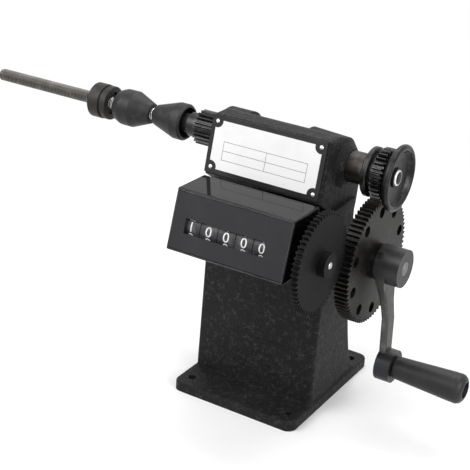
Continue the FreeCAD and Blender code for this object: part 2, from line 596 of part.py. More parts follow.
def crank_line():
    """Crank shaft with its gear, retaining collar, arm and turning grip."""
    shaft = new_body("crank_shaft", CRANK)
    turn(shaft, "crank_shaft_side", [
        ("crank_shaft_inner", "0"), ("crank_shaft_inner", "crank_shaft_radius"),
        ("crank_end - 0.5", "crank_shaft_radius"), ("crank_end", "crank_shaft_radius - 0.5"),
        ("crank_end", "0")])
    collar = new_body("crank_collar", CRANK)
    turn(collar, "collar_side", [
        ("4", "crank_shaft_radius"), ("4", "10.5"), ("13.6", "10.5"), ("13.6", "crank_shaft_radius")])
    radial_hole(collar, "collar_screw_hole", "8.8", 90.0, "grub_radius", "12")

    gear = new_body("crank_gear", CRANK)
    turn(gear, "crank_blank", [
        ("64.4", "crank_shaft_radius"), ("64.4", "15"), ("crank_gear_back", "15"),
        ("crank_gear_back", tip("crank_teeth")), ("crank_gear_front", tip("crank_teeth")),
        ("crank_gear_front", "13.5"), ("88.6", "13.5"), ("88.6", "crank_shaft_radius")])
    holes = new_sketch(gear, "lightening_hole", "YZ_Plane", "crank_gear_back - 1")
    first = math.radians(18.0)
    circle(holes, repr(SIZE["lightening_radius"] * math.cos(first)),
           repr(SIZE["lightening_radius"] * math.sin(first)), "lightening_hole")
    drilled = pocket(gear, holes, "crank_gear_front - crank_gear_back + 2", forward=True)
    repeat_round(gear, drilled, "lightening_count")
    cut_teeth(gear, "crank_teeth", CRANK_PHASE, "crank_gear_back", "crank_gear_front")
    radial_hole(gear, "gear_screw_hole", "69", 60.0, "grub_radius", "16")

    arm = new_body("crank_arm", CRANK)
    side = new_sketch(arm, "arm_side", "XZ_Plane")
    outline(side, [
        ("91", "0"), ("91", "-14"), ("96.4", "-42"), ("97.8", "-crank_throw"),
        ("103.6", "-crank_throw"), ("102.2", "-44"), ("98", "-16"), ("98", "0")])
    pad(arm, side, "crank_hub_radius + crank_hub_radius", middle=True)
    for name, sign in (("arm_taper_front", "-"), ("arm_taper_back", "")):
        taper = new_sketch(arm, name, "YZ_Plane", "80")
        outline(taper, [
            (sign + "15", "0"), (sign + "14", "-4"), (sign + "12", "-14", 1.0 if sign else -1.0),
            (sign + "6.6", "-32"), (sign + "5.7", "-90"), (sign + "15", "-90")])
        narrowed = pocket(arm, taper, "40", forward=True)
    round_edges(arm, narrowed, "arm_edges", "arm_rounding", on_arm_edges)
    hub = new_sketch(arm, "arm_hub", "YZ_Plane", "crank_hub_back")
    circle(hub, "0", "0", "crank_hub_radius")
    pad(arm, hub, "crank_end - crank_hub_back")
    boss = new_sketch(arm, "arm_boss", "YZ_Plane", "grip_boss_back")
    circle(boss, "0", "-crank_throw", "grip_boss_radius")
    pad(arm, boss, "grip_boss_front - grip_boss_back")
    bores = new_sketch(arm, "arm_bores", "YZ_Plane", "80")
    circle(bores, "0", "0", "crank_shaft_radius")
    circle(bores, "0", "-crank_throw", "grip_axle_radius")
    pocket(arm, bores, "40", forward=True)
    radial_hole(arm, "arm_screw_hole", "92", ARM_SCREW_ANGLE, "arm_screw_radius", "17")

    grip_place = (CRANK[0], CRANK[1], "Sizes.crank_z * 1 mm - Sizes.crank_throw * 1 mm")
    axle = new_body("grip_axle", grip_place)
    turn(axle, "axle_side", [
        ("grip_boss_back", "0"), ("grip_boss_back", "grip_axle_radius"), ("161.2", "grip_axle_radius"),
        ("161.2", "5.5"), ("163", "5.5"), ("163.9", "4.4"), ("164.2", "2.8"), ("164.2", "0")])
    grip = new_body("grip", grip_place)
    bore = "grip_axle_radius + 0.1"
    turn(grip, "grip_side", [
        ("grip_start", bore), ("grip_start", "grip_small - 0.6"), ("grip_start + 0.6", "grip_small"),
        ("157", "grip_large"), ("159.5", "grip_large", 1.6), ("grip_end", "7.2"),
        ("grip_end", "6.2"), ("160.9", "6.2"),
        ("160.9", bore)])


def leaning_body(label, foot_y, foot_z, lean):
    """A body whose local Z runs up a front face that leans back by the angle given."""
    body = new_body(label)
    turned = FreeCAD.Rotation(FreeCAD.Vector(1, 0, 0), -lean)
    body.Placement = FreeCAD.Placement(FreeCAD.Vector(0, foot_y, foot_z), turned)
    return body


def nameplate():
    """Blank plate on the head's leaning face, held by four rivets."""
    foot_y, foot_z, lean = plate_place()
    plate = leaning_body("nameplate", foot_y, foot_z, lean)
    sheet_outline = new_sketch(plate, "plate_outline", "XZ_Plane")
    outline(sheet_outline, [
        ("plate_left", "0"), ("plate_right", "0"), ("plate_right", "plate_height"),
        ("plate_left", "plate_height")])
    for across, upward in RIVETS:
        circle(sheet_outline, across, upward, "rivet_radius")
    pad(plate, sheet_outline, "plate_thickness")
    radius = SIZE["rivet_head"]
    ball = Part.makeSphere(radius * 1.25, FreeCAD.Vector(0, 0, -radius * 0.75))
    dome = ball.common(Part.makeCylinder(radius, radius))
    length = SIZE["plate_thickness"] + SIZE["rivet_depth"]
    shank = Part.makeCylinder(SIZE["rivet_radius"], length, FreeCAD.Vector(0, 0, -length))
    rivet = dome.fuse(shank)
    rivets = [
        aimed(rivet, (amount(across), -SIZE["plate_thickness"], amount(upward)), (0, -1, 0))
        for across, upward in RIVETS]
    group = shape_node("nameplate_rivets", Part.makeCompound(rivets))
    group.Placement = plate.Placement


def shape_node(label, shape):
    """A node whose shape is made directly, such as a group of identical fasteners."""
    item = doc.addObject("Part::Feature", label)
    item.Label = label
    item.Shape = shape
    NODES.append(item)
    return item


def screw(shank_radius, shank_length, head_radius, head_height):
    """Cheese-head screw along -Z from the seat of its head at the origin, with a slot."""
    shank = Part.makeCylinder(
        shank_radius, shank_length, FreeCAD.Vector(0, 0, -shank_length), FreeCAD.Vector(0, 0, 1))
    head = Part.makeCylinder(head_radius, head_height)
    slot = Part.makeBox(2 * head_radius + 1, 1.0, head_height / 2,
                        FreeCAD.Vector(-head_radius - 0.5, -0.5, head_height / 2))
    return shank.fuse(head.cut(slot)).removeSplitter()


def aimed(shape, point, direction):
    """A copy of a shape whose +Z is turned to a direction and moved to a point."""
    copy = shape.copy()
    copy.Placement = FreeCAD.Placement(
        FreeCAD.Vector(*point), FreeCAD.Rotation(FreeCAD.Vector(0, 0, 1), FreeCAD.Vector(*direction)))
    return copy


def counter():
    """Turns counter: case, front, five digit wheels, carry pinions, shaft and gear."""
    case = new_body("counter_case")
    side = new_sketch(case, "case_side", "YZ_Plane", "counter_left")
    outline(side, [
        ("counter_front_bottom", "counter_bottom"), ("counter_back", "counter_bottom"),
        ("counter_back", "counter_top - 0.8"), ("counter_front_top", "counter_top")])
    shell = pad(case, side, "counter_right - counter_left")
    round_edges(case, shell, "case_edges", "case_rounding", on_any_edge)
    hollow = new_sketch(case, "case_hollow", "YZ_Plane", "counter_left + case_wall")
    outline(hollow, [
        ("counter_front_bottom - 9", "counter_bottom + case_wall"),
        ("counter_back - case_wall", "counter_bottom + case_wall"),
        ("counter_back - case_wall", "counter_top - 0.8 - case_wall"),
        ("counter_front_top - 9", "counter_top - case_wall")])
    pocket(case, hollow, "counter_right - counter_left - case_wall - case_wall", forward=True)
    shaft_holes = new_sketch(case, "case_bores", "YZ_Plane", "counter_left - 1")
    circle(shaft_holes, "counter_y", "counter_z", "counter_shaft_radius + running_gap")
    pocket(case, shaft_holes, "counter_right - counter_left + 2", forward=True)
    taps = new_sketch(case, "case_taps", "XZ_Plane", "-counter_back")
    for along in ("bracket_screw_left", "bracket_screw_right"):
        circle(taps, along, "case_screw_height", "bracket_screw_radius")
    pocket(case, taps, "case_wall + case_wall", middle=True)

    rise = SIZE["counter_top"] - SIZE["counter_bottom"]
    run = SIZE["counter_front_top"] - SIZE["counter_front_bottom"]
    lean = math.degrees(math.atan2(run, rise))
    front = leaning_body(
        "counter_front", SIZE["counter_front_bottom"] + 0.3, SIZE["counter_bottom"], lean)
    face = new_sketch(front, "front_outline", "XZ_Plane", "-bezel_thickness")
    outline(face, [
        ("counter_left + case_wall + 0.1", "2.1"), ("counter_right - case_wall - 0.1", "2.1"),
        ("counter_right - case_wall - 0.1", "43.6"), ("counter_left + case_wall + 0.1", "43.6")])
    pad(front, face, "bezel_thickness")
    reach_y = counter_y - SIZE["counter_front_bottom"]
    reach_z = counter_z - SIZE["counter_bottom"]
    level = reach_y * math.sin(math.radians(lean)) + reach_z * math.cos(math.radians(lean))
    window = new_sketch(front, "window_outline", "XZ_Plane", "-bezel_thickness - 1")
    low = "%.2f" % (level - SIZE["window_height"] / 2)
    high = "%.2f" % (level + SIZE["window_height"] / 2)
    outline(window, [
        ("window_left", low), ("window_right", low), ("window_right", high), ("window_left", high)])
    pocket(front, window, "bezel_thickness + 2", forward=True)

    shaft = new_body("counter_shaft", COUNTER)
    turn(shaft, "counter_shaft_side", [
        ("counter_left + 0.3", "0"), ("counter_left + 0.3", "counter_shaft_radius"),
        ("counter_hub_end", "counter_shaft_radius"), ("counter_hub_end + 0.4", "counter_shaft_radius - 0.4"),
        ("counter_hub_end + 0.4", "0")])
    gear = new_body("counter_gear", COUNTER)
    turn(gear, "counter_blank", [
        ("62", "counter_shaft_radius"), ("62", "7"), ("counter_gear_back", "7"),
        ("counter_gear_back", tip("counter_teeth")), ("counter_gear_front", tip("counter_teeth")),
        ("counter_gear_front", "9"), ("counter_hub_end", "9"),
        ("counter_hub_end", "counter_shaft_radius")])
    doc.recompute()
    cut_teeth(gear, "counter_teeth", COUNTER_PHASE, "counter_gear_back", "counter_gear_front")
    radial_hole(gear, "counter_screw_hole", "81.6", 90.0, "grub_radius", "12")

    count = int(SIZE["wheel_count"])
    for number in range(count):
        units = number == count - 1
        label = "units_wheel" if units else "digit_wheel_%d" % (number + 1)
        centre = SIZE["first_digit"] + SIZE["digit_wheel_pitch"] * number
        half = SIZE["digit_wheel_width"] / 2
        bore = "counter_shaft_radius" if units else "counter_shaft_radius + running_gap"
        left, right = repr(centre - half), repr(centre + half)
        inner = repr(centre + half - 3.0)
        wheel = new_body(label, COUNTER)
        turn(wheel, label + "_side", [
            (left, bore), (left, "digit_wheel_radius - 0.4"),
            (repr(centre - half + 0.4), "digit_wheel_radius"),
            (repr(centre + half - 0.4), "digit_wheel_radius"),
            (right, "digit_wheel_radius - 0.4"), (right, "digit_wheel_radius - 2"),
            (inner, "digit_wheel_radius - 2"), (inner, "6"), (right, "6"), (right, bore)])

    rod = new_body("carry_shaft", CARRY)
    turn(rod, "carry_shaft_side", [
        ("counter_left + case_wall", "0"), ("counter_left + case_wall", "carry_shaft_radius"),
        ("counter_right - case_wall", "carry_shaft_radius"), ("counter_right - case_wall", "0")])
    for number in range(1, count):
        carry_pinion(number)


def carry_pinion(number):
    """Small toothed roller that passes a turn from one digit wheel to the next."""
    body = new_body("carry_pinion_%d" % number, CARRY)
    middle = SIZE["first_digit"] + SIZE["digit_wheel_pitch"] * (number - 0.5)
    left = repr(middle - SIZE["carry_pinion_width"] / 2)
    right = repr(middle + SIZE["carry_pinion_width"] / 2)
    bore = "carry_shaft_radius + running_gap"
    turn(body, body.Name + "_side", [
        (left, bore), (left, "carry_pinion_radius"), (right, "carry_pinion_radius"), (right, bore)])
    notch = new_sketch(body, body.Name + "_notch", "YZ_Plane", left)
    circle(notch, "carry_pinion_radius", "0", "0.9")
    repeat_round(body, pocket(body, notch, "carry_pinion_width", forward=True), "carry_teeth")


def counter_bracket():
    """Channel that carries the counter in front of the column, with its four screws."""
    bracket = new_body("counter_bracket")
    side = new_sketch(bracket, "bracket_side", "YZ_Plane", "bracket_left")
    outline(side, [
        ("column_front", "147"), ("column_front", "170.5"), ("column_front - 3", "170.5"),
        ("column_front - 3", "150"), ("counter_back + 3", "150"), ("counter_back + 3", "182"),
        ("counter_back", "182"), ("counter_back", "147")])
    pad(bracket, side, "bracket_right - bracket_left")
    for name, shift, height in (("column_holes", "-column_front", "bracket_screw_height"),
                                ("case_holes", "-counter_back", "case_screw_height")):
        holes = new_sketch(bracket, name, "XZ_Plane", shift)
        for along in ("bracket_screw_left", "bracket_screw_right"):
            circle(holes, along, height, "bracket_screw_radius")
        pocket(bracket, holes, "7", middle=True)
    radius = SIZE["bracket_screw_radius"]
    body_screw = screw(radius, 9.0, 3.6, 2.6)
    case_screw = screw(radius, 4.5, 3.6, 2.6)
    frame_screws = []
    for along in (SIZE["bracket_screw_left"], SIZE["bracket_screw_right"]):
        frame_screws.append(aimed(
            body_screw, (along, SIZE["column_front"] - 3, SIZE["bracket_screw_height"]), (0, -1, 0)))
        frame_screws.append(aimed(
            case_screw, (along, SIZE["counter_back"] + 3, SIZE["case_screw_height"]), (0, 1, 0)))
    shape_node("bracket_screws", Part.makeCompound(frame_screws))


def grub_screw(seat, crest):
    """Headless slotted screw between two distances from a shaft's axis, along +Z."""
    rod = Part.makeCylinder(SIZE["grub_radius"], crest - seat, FreeCAD.Vector(0, 0, seat))
    slot = Part.makeBox(4.0, 0.6, 1.0, FreeCAD.Vector(-2.0, -0.3, crest - 0.8))
    return rod.cut(slot)


def set_screws():
    """Screws that lock the hubs to their shafts."""
    angle = math.radians(ARM_SCREW_ANGLE)
    aim = (0.0, math.cos(angle), math.sin(angle))
    seat = SIZE["crank_hub_radius"]
    headed = screw(SIZE["arm_screw_radius"], seat - SIZE["crank_shaft_radius"], 2.3, 1.2)
    point = (92.0, crank_y + seat * aim[1], crank_z + seat * aim[2])
    shape_node("crank_arm_screw", aimed(headed, point, aim))

    tilt = math.radians(60.0)
    collar_screw = aimed(grub_screw(SIZE["crank_shaft_radius"], 10.2), (8.8, crank_y, crank_z), (0, 0, 1))
    gear_screw = aimed(grub_screw(SIZE["crank_shaft_radius"], 14.6), (69.0, crank_y, crank_z),
                       (0, math.cos(tilt), math.sin(tilt)))
    shape_node("crank_grub_screws", Part.makeCompound([collar_screw, gear_screw]))

    axis = (SIZE["spindle_y"], SIZE["spindle_height"])
    lean = math.radians(PINION_SCREW_ANGLE)
    motor_screw = aimed(grub_screw(SIZE["spindle_radius"], 9.2), (-81.5,) + axis, (0, 0, 1))
    drive_screw = aimed(grub_screw(SIZE["spindle_radius"], 14.6), (75.5,) + axis,
                        (0, math.cos(lean), math.sin(lean)))
    shape_node("spindle_grub_screws", Part.makeCompound([motor_screw, drive_screw]))

    shape_node("counter_grub_screw", aimed(
        grub_screw(SIZE["counter_shaft_radius"], 8.7), (81.6, counter_y, counter_z), (0, 0, 1)))


machine_casting()
bearings()
spindle_line()
sliding_line()
crank_line()
nameplate()
counter()
counter_bracket()
set_screws()
doc.recompute()

for item in doc.Objects:
    if "Invalid" in item.State or "Error" in item.State:
        raise RuntimeError("failed object: " + item.Name)
for node in NODES:
    if node.Shape.isNull() or not node.Shape.isValid():
        raise RuntimeError("bad shape: " + node.Label)

os.makedirs("parts", exist_ok=True)
for node in NODES:
    node.Shape.exportStep("parts/%s.step" % node.Label)
    print(node.Label, len(node.Shape.Solids), round(node.Shape.Volume))
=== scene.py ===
"""Hand-cranked coil winder: finishes, printed and threaded pieces, studio and camera."""
import logging
import math
from dataclasses import dataclass, field
from enum import Enum
from typing import Callable, Iterable, Sequence

import bmesh
import bpy
from mathutils import Matrix, Vector


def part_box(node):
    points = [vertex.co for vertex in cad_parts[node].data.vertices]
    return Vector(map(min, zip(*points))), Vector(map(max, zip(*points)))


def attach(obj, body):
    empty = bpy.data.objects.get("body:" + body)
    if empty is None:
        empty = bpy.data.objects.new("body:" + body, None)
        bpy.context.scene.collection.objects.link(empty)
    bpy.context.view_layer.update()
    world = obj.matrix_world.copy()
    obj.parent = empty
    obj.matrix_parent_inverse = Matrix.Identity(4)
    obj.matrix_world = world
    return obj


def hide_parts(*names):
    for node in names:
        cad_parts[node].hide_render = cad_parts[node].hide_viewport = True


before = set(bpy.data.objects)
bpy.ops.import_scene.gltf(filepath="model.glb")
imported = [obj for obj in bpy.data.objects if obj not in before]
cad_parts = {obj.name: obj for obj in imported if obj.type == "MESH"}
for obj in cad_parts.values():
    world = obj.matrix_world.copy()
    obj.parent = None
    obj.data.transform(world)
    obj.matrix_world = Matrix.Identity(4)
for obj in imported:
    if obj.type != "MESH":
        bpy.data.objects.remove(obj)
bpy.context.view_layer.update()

log = logging.getLogger("coil_winder")

MM = 0.001
THREAD_CREST = 5.0 * MM
THREAD_ROOT = 4.25 * MM
Colour = tuple[float, float, float]
Point = tuple[float, float, float]
Axis = tuple[float, float]


class Grain(Enum):
    """How a surface is marked by the way that it was made."""

    CAST = "sand-cast skin under thick paint"
    TURNED = "rings left by a lathe tool"
    MOULDED = "fine even skin of a moulding"
    ROLLED = "smooth sheet with a faint haze"


@dataclass(frozen=True)
class Cloud:
    """One cloudy pattern.

    Attributes:
        scale: patches in a metre.
        detail: number of finer layers.
        rough: strength of the finer layers.
    """

    scale: float
    detail: float = 3.0
    rough: float = 0.55


class Wire:
    """A socket that takes part in arithmetic as a number."""

    def __init__(self, board: "Board", socket: bpy.types.NodeSocket) -> None:
        """Keep the socket and the board that holds its node."""
        self.board = board
        self.socket = socket

    def _join(self, operation: str, first: "Wire | float", second: "Wire | float") -> "Wire":
        """Add a Math node.

        Args:
            operation: name of the operation.
            first: left operand.
            second: right operand.

        Returns:
            The result's socket.
        """
        return self.board.node("ShaderNodeMath", {"operation": operation}, {0: first, 1: second})

    def __add__(self, other: "Wire | float") -> "Wire":
        """Sum."""
        return self._join("ADD", self, other)

    def __radd__(self, other: float) -> "Wire":
        """Sum with a number on the left."""
        return self._join("ADD", other, self)

    def __sub__(self, other: "Wire | float") -> "Wire":
        """Difference."""
        return self._join("SUBTRACT", self, other)

    def __rsub__(self, other: float) -> "Wire":
        """Difference with a number on the left."""
        return self._join("SUBTRACT", other, self)

    def __mul__(self, other: "Wire | float") -> "Wire":
        """Product."""
        return self._join("MULTIPLY", self, other)

    def __rmul__(self, other: float) -> "Wire":
        """Product with a number on the left."""
        return self._join("MULTIPLY", other, self)

    def magnitude(self) -> "Wire":
        """Value without its sign."""
        return self.board.node("ShaderNodeMath", {"operation": "ABSOLUTE"}, {0: self})

    def ramp(self, low: float = 0.0, high: float = 1.0) -> "Wire":
        """Stretch the part between two levels to the whole range 0 to 1."""
        return self.board.node("ShaderNodeValToRGB", {"stops": [(low, 0.0), (high, 1.0)]},
                               {0: self})


class Board:
    """The node tree of a material or of the world."""

    def __init__(self, owner: bpy.types.Material | bpy.types.World) -> None:
        """Start an empty tree.

        Args:
            owner: the material or the world that the tree belongs to.
        """
        owner.use_nodes = True
        self.owner = owner
        self.tree = owner.node_tree
        self.tree.nodes.clear()

    def node(self, kind: str, settings: dict | None = None, inputs: dict | None = None,
             output: int | str = 0) -> Wire:
        """Add a node.

        Args:
            kind: the node's type.
            settings: attributes to set first; "stops" fills a colour ramp.
            inputs: values or wires for sockets, by index or name.
            output: the socket that is wanted.

        Returns:
            The wanted output.
        """
        item = self.tree.nodes.new(kind)
        for key, value in (settings or {}).items():
            if key == "stops":
                self._fill_ramp(item.color_ramp, value)
            else:
                setattr(item, key, value)
        for key, value in (inputs or {}).items():
            if isinstance(value, Wire):
                self.tree.links.new(value.socket, item.inputs[key])
            else:
                item.inputs[key].default_value = value
        return Wire(self, item.outputs[output] if item.outputs else None)

    @staticmethod
    def _fill_ramp(ramp: bpy.types.ColorRamp, stops: Sequence[tuple[float, float]]) -> None:
        """Set a ramp's stops.

        Args:
            ramp: the ramp.
            stops: pairs of place and grey level.
        """
        while len(ramp.elements) < len(stops):
            ramp.elements.new(1.0)
        for element, (place, level) in zip(ramp.elements, stops):
            element.position = place
            element.color = (level, level, level, 1.0)

    def place(self) -> Wire:
        """Position on the piece, in metres."""
        return self.node("ShaderNodeTexCoord", output="Object")

    def noise(self, cloud: Cloud, vector: Wire | None = None) -> Wire:
        """Cloudy pattern from 0 to 1.

        Args:
            cloud: the pattern's settings.
            vector: position to read, or none for the position on the piece.

        Returns:
            The pattern.
        """
        return self.node("ShaderNodeTexNoise", None,
                         {"Vector": vector or self.place(), "Scale": cloud.scale,
                          "Detail": cloud.detail, "Roughness": cloud.rough})

    def mix(self, factor: Wire, first: "Colour | Wire", second: Colour) -> Wire:
        """Blend two colours.

        Args:
            factor: mask that is 1 where the second colour shows.
            first: first colour.
            second: second colour.

        Returns:
            The blend.
        """
        start = first if isinstance(first, Wire) else (*first, 1.0)
        return self.node("ShaderNodeMix", {"data_type": "RGBA"},
                         {0: factor, 6: start, 7: (*second, 1.0)}, 2)

    def parts(self, vector: Wire) -> tuple[Wire, Wire, Wire]:
        """The three numbers of a vector.

        Args:
            vector: the vector.

        Returns:
            X, Y and Z.
        """
        first = self.node("ShaderNodeSeparateXYZ", None, {0: vector})
        outputs = first.socket.node.outputs
        return first, Wire(self, outputs[1]), Wire(self, outputs[2])

    def edges(self, width: float, samples: int = 4, start: float = 0.02, full: float = 0.22
              ) -> Wire:
        """Mask that is 1 on the edges of the mesh.

        Args:
            width: reach of the mask from an edge, in metres.
            samples: number of rays that look for an edge.
            start: how far the surface has to turn for the mask to start.
            full: how far it has to turn for the whole mask.

        Returns:
            The mask.
        """
        bevel = self.node("ShaderNodeBevel", {"samples": samples}, {"Radius": width})
        plain = self.node("ShaderNodeNewGeometry", output="Normal")
        alike = self.node("ShaderNodeVectorMath", {"operation": "DOT_PRODUCT"},
                          {0: bevel, 1: plain}, 1)
        return (1.0 - alike).ramp(start, full)

    def seen(self) -> Wire:
        """Mask for what the camera, gloss and glass show.

        Returns:
            1 for these rays and 0 for the light that falls on the piece.
        """
        kinds = self.node("ShaderNodeLightPath").socket.node.outputs
        rays = Wire(self, kinds["Is Camera Ray"]) + Wire(self, kinds["Is Glossy Ray"])
        return (rays + Wire(self, kinds["Is Transmission Ray"])).ramp()

    def blend(self, factor: Wire, first: Wire, second: Wire) -> Wire:
        """Blend two shaders by a mask."""
        return self.node("ShaderNodeMixShader", None, {0: factor, 1: first, 2: second})

    def around(self, axis: Axis) -> Wire:
        """Place along and distance from an axis that runs along X.

        Args:
            axis: Y and Z of the axis, in metres.

        Returns:
            A vector with the place along X and the distance.
        """
        shifted = self.node("ShaderNodeVectorMath", {"operation": "SUBTRACT"},
                            {0: self.place(), 1: (0.0, *axis)})
        flat = self.node("ShaderNodeVectorMath", {"operation": "MULTIPLY"},
                         {0: shifted, 1: (0.0, 1.0, 1.0)})
        distance = self.node("ShaderNodeVectorMath", {"operation": "LENGTH"}, {0: flat}, 1)
        return self.node("ShaderNodeCombineXYZ", None,
                         {0: self.parts(self.place())[0], 1: distance, 2: 0.0})


PATTERNS: dict[Grain, tuple[Cloud, Cloud]] = {
    Grain.TURNED: (Cloud(2600.0, 2.0), Cloud(160.0)),
    Grain.CAST: (Cloud(260.0, 4.0, 0.6), Cloud(60.0, 5.0, 0.65)),
    Grain.ROLLED: (Cloud(90.0, 2.0), Cloud(45.0)),
    Grain.MOULDED: (Cloud(1500.0, 2.0), Cloud(110.0, 4.0)),
}
CAST_FINE = Cloud(800.0, 3.0, 0.6)
COARSE_SHARE = 0.6
FINE_SHARE = 0.5
CLOUD_MEAN = 0.5


@dataclass(frozen=True)
class Finish:
    """One surface finish.

    Attributes:
        name: name of the finish.
        base: main colour.
        worn: colour of dust, wear or lighter patches.
        roughness: lowest roughness.
        spread: how much the roughness varies.
        metallic: 1 on bare metal.
        specular: strength of plain reflection.
        grain: how the surface was made.
        depth: height of the grain in metres.
        patch: share of the surface that takes the worn colour, from 0 to 1.
        rub: how far the edges take their light colour, which stands for wear and, on some finishes,
            for a painted highlight.
        rubbed: colour of light edges and of light grains.
        rub_width: width of a light edge in metres.
        grains: how strongly light grains show.
        patch_start: level of the cloud at which a patch starts, where patch is 0.
        patch_shift: how far patch lowers that level.
        patch_fade: part of the cloud over which a patch fades in.
        grain_span: heights of the marks between which light grains fade in.
    """

    name: str
    base: Colour
    worn: Colour
    roughness: float
    spread: float = 0.1
    metallic: float = 0.0
    specular: float = 0.5
    grain: Grain = Grain.MOULDED
    depth: float = 0.00002
    patch: float = 0.4
    rub: float = 0.0
    rubbed: Colour = (0.12, 0.12, 0.12)
    rub_width: float = 0.0005
    grains: float = 0.0
    patch_start: float = 0.62
    patch_shift: float = 0.3
    patch_fade: float = 0.2
    grain_span: tuple[float, float] = (0.58, 0.72)

    def material(self, axis: Axis = (0.0, 0.0)) -> bpy.types.Material:
        """Make the material.

        Args:
            axis: Y and Z of the axis that a turned piece was cut round.

        Returns:
            The material.
        """
        board = Board(bpy.data.materials.new(self.name))
        marks, clouds = self._pattern(board, axis)
        colour = self._colour(board, marks, clouds, axis)
        rough = self.roughness + self.spread * clouds
        bump = board.node("ShaderNodeBump", None,
                          {"Strength": 1.0, "Distance": self.depth, "Height": marks})
        shader = board.node(
            "ShaderNodeBsdfPrincipled", None,
            {"Base Color": colour, "Roughness": rough, "Metallic": self.metallic,
             "Specular IOR Level": self.specular, "Normal": bump})
        board.node("ShaderNodeOutputMaterial", None, {"Surface": shader})
        return board.owner

    def _colour(self, board: Board, marks: Wire, clouds: Wire, axis: Axis) -> Wire:
        """Colour with patches, light grains and light edges that show wear and, on some finishes, a
        painted highlight.

        Args:
            board: the material's nodes.
            marks: height of the marks.
            clouds: slow cloud.
            axis: Y and Z of a turned piece's axis; not used here.

        Returns:
            The colour.
        """
        low = self.patch_start - self.patch_shift * self.patch
        colour = board.mix(clouds.ramp(low, low + self.patch_fade), self.base, self.worn)
        if self.grains:
            colour = board.mix(marks.ramp(*self.grain_span) * self.grains, colour, self.rubbed)
        # Light edges stand for wear and, on the counter case, for a painted highlight along its
        # rounded edges.
        if self.rub:
            rubbed = board.edges(self.rub_width) * clouds * (self.rub / CLOUD_MEAN)
            colour = board.mix(rubbed, colour, self.rubbed)
        return colour

    def _pattern(self, board: Board, axis: Axis) -> tuple[Wire, Wire]:
        """Height of the marks and a slow cloud for colour and roughness.

        Args:
            board: the material's nodes.
            axis: Y and Z of a turned piece's axis.

        Returns:
            The height and the cloud.
        """
        marks, cloud = PATTERNS[self.grain]
        if self.grain is Grain.TURNED:
            height = board.noise(marks, board.around(axis))
        elif self.grain is Grain.CAST:
            height = COARSE_SHARE * board.noise(marks) + FINE_SHARE * board.noise(CAST_FINE)
        else:
            height = board.noise(marks)
        return height, board.noise(cloud)


@dataclass(frozen=True)
class CastSkin(Finish):
    """Painted casting with a dark streak across its front, wider to the right.

    Attributes:
        mark_left: left end of the mark along X, in metres.
        mark_right: right end.
        mark_height: height of the mark at X = 0.
        mark_slope: rise of the mark along X.
        mark_half: half its width at X = 0.
        mark_widening: growth of the half width along X.
        mark_front: the mark shows only in front of this Y.
        mark_colour: colour of the mark.
        mark_strength: how strongly it shows.
        side_fade: sharpness of its long sides, for each metre.
        left_fade: sharpness of its left end.
        right_fade: sharpness of its right end.
        front_fade: sharpness of the limit at mark_front.
    """

    mark_left: float = -0.048
    mark_right: float = 0.0275
    mark_height: float = 0.0507
    mark_slope: float = 0.031
    mark_half: float = 0.0011
    mark_widening: float = 0.012
    mark_front: float = -0.025
    mark_colour: Colour = (0.004, 0.004, 0.004)
    mark_strength: float = 0.75
    side_fade: float = 1500.0
    left_fade: float = 60.0
    right_fade: float = 500.0
    front_fade: float = 1000.0

    def _colour(self, board: Board, marks: Wire, clouds: Wire, axis: Axis) -> Wire:
        """Colour of the skin, darker along the mark.

        Args:
            board: the material's nodes.
            marks: height of the marks.
            clouds: slow cloud.
            axis: Y and Z of a turned piece's axis.

        Returns:
            The colour.
        """
        skin = super()._colour(board, marks, clouds, axis)
        x, y, z = board.parts(board.place())
        off = (z - (self.mark_height + self.mark_slope * x)).magnitude()
        line = ((self.mark_half + self.mark_widening * x - off) * self.side_fade).ramp()
        left = ((x - self.mark_left) * self.left_fade).ramp()
        right = ((self.mark_right - x) * self.right_fade).ramp()
        front = ((self.mark_front - y) * self.front_fade).ramp()
        return board.mix(self.mark_strength * line * (left * right) * front, skin,
                         self.mark_colour)


@dataclass(frozen=True)
class ThreadSteel(Finish):
    """Steel rod with painted shade in its thread roots and a brighter stretch.

    Attributes:
        polished: colour of the brighter stretch.
        polish_start: where the brighter stretch starts along X, in metres.
        polish_fade: sharpness of that start, for each metre.
        dirt: colour of the painted shade in the roots.
        clean_span: parts of the thread's height between which the painted shade ends.
    """

    polished: Colour = (0.8, 0.8, 0.79)
    polish_start: float = -0.168
    polish_fade: float = 400.0
    dirt: Colour = (0.006, 0.0055, 0.005)
    clean_span: tuple[float, float] = (0.45, 0.85)

    def _colour(self, board: Board, marks: Wire, clouds: Wire, axis: Axis) -> Wire:
        """Colour of the steel, with painted shade in the roots and brighter along one stretch.

        Args:
            board: the material's nodes.
            marks: height of the marks.
            clouds: slow cloud.
            axis: Y and Z of the rod's axis.

        Returns:
            The colour.
        """
        steel = super()._colour(board, marks, clouds, axis)
        along, distance, _ = board.parts(board.around(axis))
        height = (distance - THREAD_ROOT) * (1.0 / (THREAD_CREST - THREAD_ROOT))
        bright_part = ((along - self.polish_start) * self.polish_fade).ramp()
        # Painted shade darkens the thread's roots over steel that is brighter beyond one place
        # along X.
        return board.mix(1.0 - height.ramp(*self.clean_span),
                         board.mix(bright_part, steel, self.polished), self.dirt)


